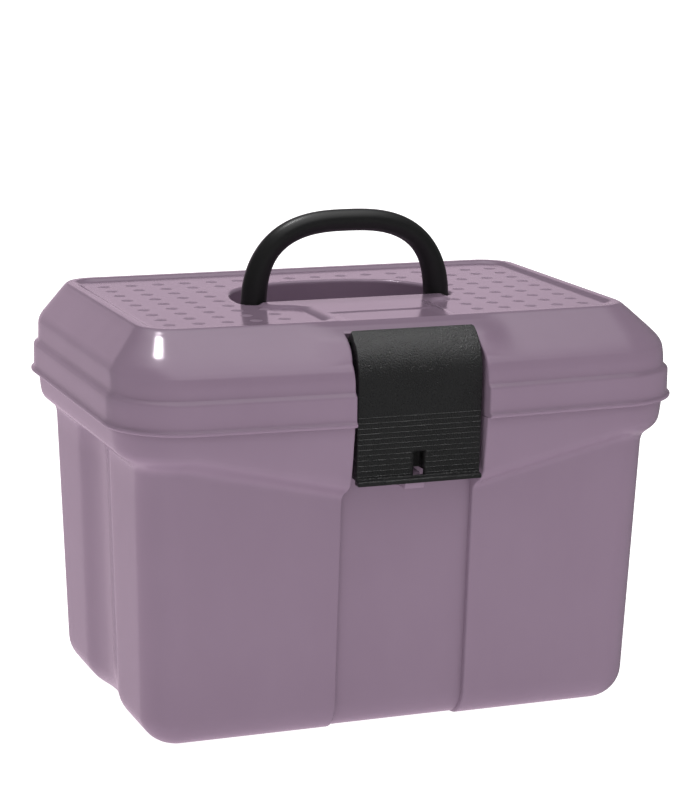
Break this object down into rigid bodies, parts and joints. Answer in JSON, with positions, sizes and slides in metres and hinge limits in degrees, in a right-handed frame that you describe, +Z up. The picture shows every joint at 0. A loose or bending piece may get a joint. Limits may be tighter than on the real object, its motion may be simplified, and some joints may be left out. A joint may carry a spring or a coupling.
{
  "type": "horse grooming box",
  "caption": "Moulded plastic grooming box with a hinged dotted lid, a fold-down carrying handle, a front latch and a lift-out tray.",
  "frame": {"origin": "middle of the foot on the ground, under the centre of the bounding box", "axes": "+X along the length to the right seen from the front, -Y towards the front with the latch, +Z up"},
  "size_m": [0.4, 0.2954, 0.339],
  "materials": {
    "mauve_plastic": "smooth moulded polypropylene, glossy",
    "black_plastic": "fine grained moulded plastic",
    "pin_steel": "drawn wire"
  },
  "bodies": {
    "tub": {"tub": "mauve_plastic", "hinge_pin_left": "pin_steel", "hinge_pin_right": "pin_steel"},
    "lid": {"lid": "mauve_plastic", "latch_pin": "pin_steel"},
    "latch": {"latch": "black_plastic"},
    "handle": {"handle": "black_plastic"},
    "tray": {"tray": "black_plastic"}
  },
  "joints": [
    {"name": "lid_hinge", "type": "hinge", "parent": "tub", "child": "lid", "pos_m": [0, 0.1423, 0.22], "axis": [-1, 0, 0], "range_deg": [0, 105]},
    {"name": "latch_hinge", "type": "hinge", "parent": "lid", "child": "latch", "pos_m": [0, -0.12268, 0.26907], "axis": [-1, 0, 0], "range_deg": [0, 80]},
    {"name": "handle_hinge", "type": "hinge", "parent": "lid", "child": "handle", "pos_m": [0, 0, 0.2684], "axis": [-1, 0, 0], "range_deg": [0, 90]},
    {"name": "tray_lift", "type": "slide", "parent": "tub", "child": "tray", "axis": [0, 0, 1], "range_m": [0, 0.015]}
  ]
}
